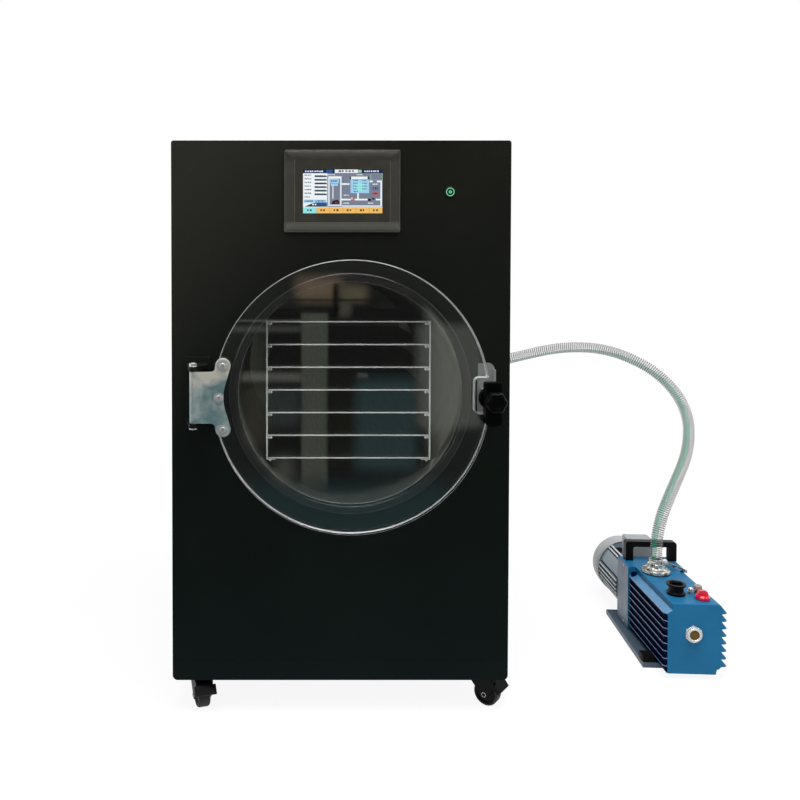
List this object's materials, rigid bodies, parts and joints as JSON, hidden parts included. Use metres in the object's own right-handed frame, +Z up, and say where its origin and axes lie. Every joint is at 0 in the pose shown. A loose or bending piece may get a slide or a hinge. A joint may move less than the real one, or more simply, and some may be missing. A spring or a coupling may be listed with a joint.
{
  "type": "freeze dryer",
  "caption": "Black freeze dryer cabinet on casters with a round clear door, shelf rack and touch screen, joined by a clear hose to a separate vacuum pump.",
  "frame": {"origin": "middle of the footprint of the cabinet and the pump together, without the hose, at floor level", "axes": "+Z up, -Y out of the door side, +X towards the vacuum pump"},
  "size_m": [1.2357, 0.802, 1.13],
  "materials": {
    "powder_coat": "black fine-textured powder coat",
    "stainless": "satin stainless steel",
    "zinc": "bright machined steel with a cool tint",
    "shelf_metal": "brushed plate",
    "acrylic": "clear polished acrylic",
    "seal_rubber": "smooth black silicone",
    "copper": "bare copper tube",
    "bezel_plastic": "fine-grained dark grey moulding",
    "screen_glass": "lit display behind gloss film",
    "button_plastic": "black button with a green lit ring",
    "black_plastic": "black moulded plastic",
    "tread_rubber": "black caster tread",
    "pump_blue": "blue paint on cast aluminium",
    "pump_grey": "grey-blue paint on cast aluminium",
    "cap_red": "glossy red plastic",
    "knob_beige": "beige plastic",
    "sight_metal": "turned aluminium",
    "hose_pvc": "clear plastic hose with a wire helix",
    "coil_fins": "condenser fins",
    "port_steel": "satin stainless steel"
  },
  "bodies": {
    "cabinet": {"back_panel": "powder_coat", "base_frame": "powder_coat", "button_bezel": "button_plastic", "chamber": "stainless", "compressor": "black_plastic", "condenser": "coil_fins", "control_box": "pump_grey", "cooling_coil": "copper", "door_seal": "seal_rubber", "fan_shroud": "powder_coat", "front_panel": "powder_coat", "hinge_bracket": "zinc", "hinge_pin": "zinc", "hose_port": "port_steel", "latch_bracket": "zinc", "latch_pin": "zinc", "left_side_panel": "powder_coat", "pump_base": "pump_grey", "pump_bracket": "pump_grey", "pump_cowl": "pump_grey", "pump_exhaust": "black_plastic", "pump_handle": "black_plastic", "pump_inlet": "port_steel", "pump_motor": "pump_grey", "pump_oil_box": "pump_blue", "pump_terminal_box": "pump_grey", "rack_frame": "stainless", "right_side_panel": "powder_coat", "screen_housing": "bezel_plastic", "shelf_1": "shelf_metal", "shelf_2": "shelf_metal", "shelf_3": "shelf_metal", "shelf_4": "shelf_metal", "shelf_5": "shelf_metal", "shelf_6": "shelf_metal", "shelf_7": "shelf_metal", "sight_glass": "sight_metal", "top_cover": "powder_coat", "touch_screen": "screen_glass", "vacuum_hose": "hose_pvc", "vacuum_pipe": "stainless"},
    "door": {"hinge_leaf": "zinc", "door_disc": "acrylic"},
    "power_button": {"power_button": "button_plastic"},
    "swing_bolt": {"swing_bolt": "zinc"},
    "clamp_bar": {"clamp_bar": "black_plastic"},
    "latch_knob": {"latch_knob": "black_plastic"},
    "condenser_fan": {"condenser_fan": "black_plastic"},
    "filler_cap": {"filler_cap": "cap_red"},
    "ballast_knob": {"ballast_knob": "knob_beige"},
    "caster_front_left": {"caster_fork_front_left": "black_plastic"},
    "wheel_front_left": {"caster_wheel_front_left": "tread_rubber"},
    "brake_front_left": {"brake_pedal_front_left": "black_plastic"},
    "caster_front_right": {"caster_fork_front_right": "black_plastic"},
    "wheel_front_right": {"caster_wheel_front_right": "tread_rubber"},
    "brake_front_right": {"brake_pedal_front_right": "black_plastic"},
    "caster_back_left": {"caster_fork_back_left": "black_plastic"},
    "wheel_back_left": {"caster_wheel_back_left": "tread_rubber"},
    "caster_back_right": {"caster_fork_back_right": "black_plastic"},
    "wheel_back_right": {"caster_wheel_back_right": "tread_rubber"}
  },
  "joints": [
    {"name": "door_hinge", "type": "hinge", "parent": "cabinet", "child": "door", "pos_m": [-0.552, -0.34865, 0.637], "axis": [0, 0, -1], "range_deg": [0, 120]},
    {"name": "latch_swing", "type": "hinge", "parent": "cabinet", "child": "swing_bolt", "pos_m": [0.013, -0.32505, 0.634], "axis": [0, 0, 1], "range_deg": [0, 75]},
    {"name": "clamp_slide", "type": "slide", "parent": "swing_bolt", "child": "clamp_bar", "axis": [0, -1, 0], "range_m": [0, 0.006]},
    {"name": "knob_turn", "type": "hinge", "parent": "clamp_bar", "child": "latch_knob", "pos_m": [0.013, -0.38705, 0.634], "axis": [0, -1, 0], "range_deg": [0, 1440]},
    {"name": "button_press", "type": "slide", "parent": "cabinet", "child": "power_button", "axis": [0, 1, 0], "range_m": [0, 0.0015], "stiffness_N_per_m": 400},
    {"name": "fan_spin", "type": "hinge", "parent": "cabinet", "child": "condenser_fan", "pos_m": [-0.118, 0.35245, 0.225], "axis": [0, 1, 0], "continuous": true},
    {"name": "filler_cap_turn", "type": "hinge", "parent": "cabinet", "child": "filler_cap", "pos_m": [0.52731, -0.13681, 0.17], "axis": [0, 0, 1], "range_deg": [0, 720]},
    {"name": "gas_ballast_turn", "type": "hinge", "parent": "cabinet", "child": "ballast_knob", "pos_m": [0.53562, -0.09925, 0.17], "axis": [0, 0, 1], "range_deg": [0, 90]},
    {"name": "swivel_front_left", "type": "hinge", "parent": "cabinet", "child": "caster_front_left", "pos_m": [-0.551, -0.24405, 0.06], "axis": [0, 0, 1], "continuous": true},
    {"name": "spin_front_left", "type": "hinge", "parent": "caster_front_left", "child": "wheel_front_left", "pos_m": [-0.5439, -0.26592, 0.025], "axis": [0.9511, 0.309, 0], "continuous": true},
    {"name": "brake_front_left", "type": "hinge", "parent": "caster_front_left", "child": "brake_front_left", "pos_m": [-0.53864, -0.28209, 0.05], "axis": [0.9511, 0.309, 0], "range_deg": [0, 15]},
    {"name": "swivel_front_right", "type": "hinge", "parent": "cabinet", "child": "caster_front_right", "pos_m": [0.015, -0.24405, 0.06], "axis": [0, 0, 1], "continuous": true},
    {"name": "spin_front_right", "type": "hinge", "parent": "caster_front_right", "child": "wheel_front_right", "pos_m": [0.03312, -0.25821, 0.025], "axis": [0.6157, 0.788, 0], "continuous": true},
    {"name": "brake_front_right", "type": "hinge", "parent": "caster_front_right", "child": "brake_front_right", "pos_m": [0.04652, -0.26868, 0.05], "axis": [0.6157, 0.788, 0], "range_deg": [0, 15]},
    {"name": "swivel_back_left", "type": "hinge", "parent": "cabinet", "child": "caster_back_left", "pos_m": [-0.551, 0.34595, 0.06], "axis": [0, 0, 1], "continuous": true},
    {"name": "spin_back_left", "type": "hinge", "parent": "caster_back_left", "child": "wheel_back_left", "pos_m": [-0.555, 0.3686, 0.025], "axis": [-0.9848, -0.1736, 0], "continuous": true},
    {"name": "swivel_back_right", "type": "hinge", "parent": "cabinet", "child": "caster_back_right", "pos_m": [0.015, 0.34595, 0.06], "axis": [0, 0, 1], "continuous": true},
    {"name": "spin_back_right", "type": "hinge", "parent": "caster_back_right", "child": "wheel_back_right", "pos_m": [0.02508, 0.36662, 0.025], "axis": [-0.8988, 0.4384, 0], "continuous": true}
  ],
  "couplings": [
    {"joint": "knob_turn", "follows": "clamp_slide", "rad_per_m": 4188.8}
  ]
}
